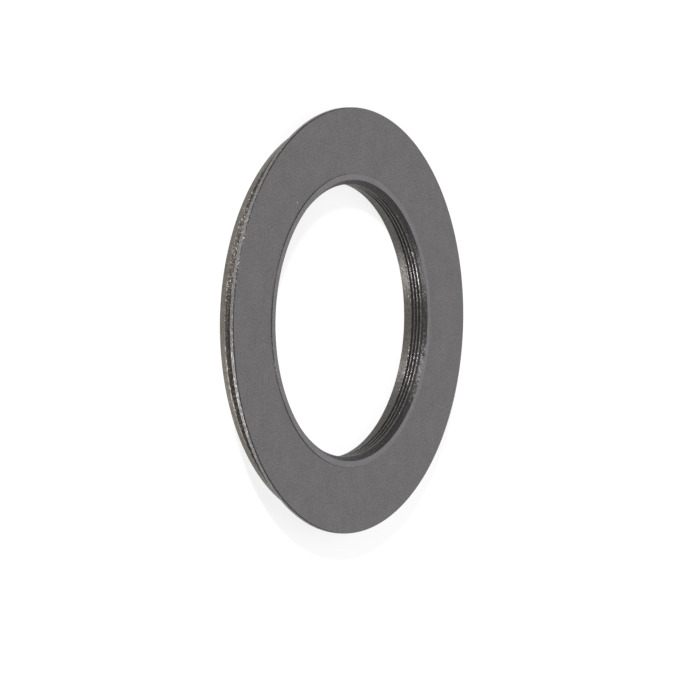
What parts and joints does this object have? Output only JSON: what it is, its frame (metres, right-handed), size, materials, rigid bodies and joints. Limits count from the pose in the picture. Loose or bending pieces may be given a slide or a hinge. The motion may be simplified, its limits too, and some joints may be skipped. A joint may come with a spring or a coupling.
{
  "type": "telescope thread adapter",
  "caption": "Turned ring that joins telescope accessories: a thin wide flange, a dovetail hub behind it and a finely threaded through bore.",
  "frame": {"origin": "centre of the hub's rear face, the face it lies on", "axes": "+Z along the turning axis and out of the flange face; the ring is round, so X and Y are any two directions across it"},
  "size_m": [0.0834, 0.0834, 0.0052],
  "materials": {
    "anodised_aluminium": "black anodised, bead-blasted matte"
  },
  "bodies": {
    "root": {"adapter_ring": "anodised_aluminium"}
  },
  "joints": []
}
